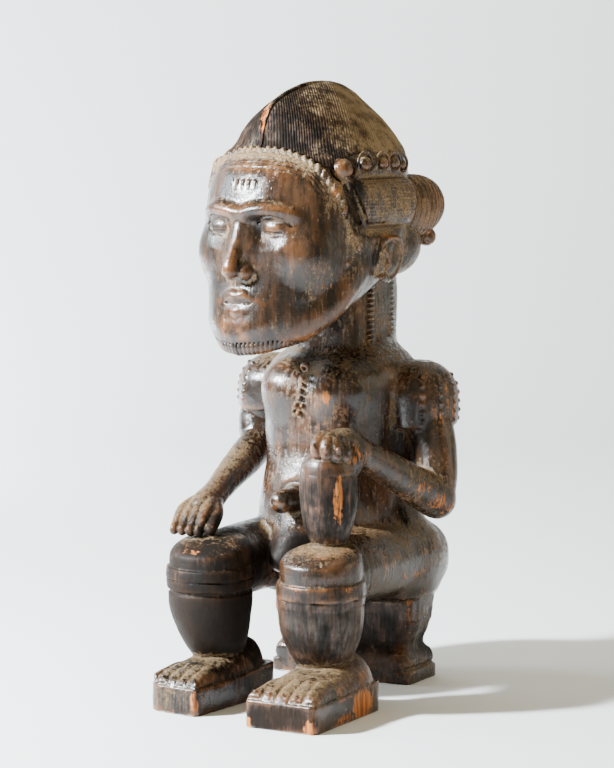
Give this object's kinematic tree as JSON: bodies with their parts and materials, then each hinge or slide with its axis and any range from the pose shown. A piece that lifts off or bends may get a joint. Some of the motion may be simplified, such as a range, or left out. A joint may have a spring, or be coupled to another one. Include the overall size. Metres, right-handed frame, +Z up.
{
  "type": "seated male figure",
  "caption": "Carved hardwood figure of a seated man with a keeled coiffure and beard, one hand on a knee and one on a gourd, on a low stool, all one block.",
  "frame": {"origin": "centre of the footprint box at floor level, under the figure", "axes": "+Z up; the figure faces -Y, and its left side is +X"},
  "size_m": [0.1735, 0.2326, 0.4112],
  "materials": {
    "dark_carved_hardwood": "polished dark patina with wear and dust"
  },
  "bodies": {
    "root": {"seated_figure": "dark_carved_hardwood"}
  },
  "joints": []
}
